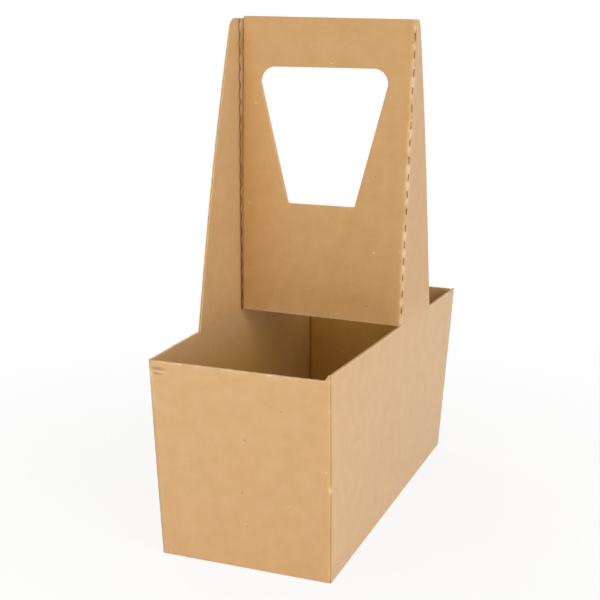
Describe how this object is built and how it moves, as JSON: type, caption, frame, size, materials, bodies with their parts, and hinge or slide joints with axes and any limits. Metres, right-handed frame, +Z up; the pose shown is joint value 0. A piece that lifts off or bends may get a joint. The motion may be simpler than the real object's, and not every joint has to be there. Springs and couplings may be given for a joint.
{
  "type": "cup carrier",
  "caption": "Open kraft board tub on a folded base, with a double card handle across its middle and a hand hole, for carrying cups side by side.",
  "frame": {"origin": "middle of the base, on the surface that the carrier stands on", "axes": "+Z up, Y along the tub, X across it; the handle stands in the XZ plane"},
  "size_m": [0.096, 0.213, 0.2534],
  "materials": {
    "kraft_board": "matt unbleached kraft liner"
  },
  "bodies": {
    "root": {"carrier": "kraft_board"}
  },
  "joints": []
}
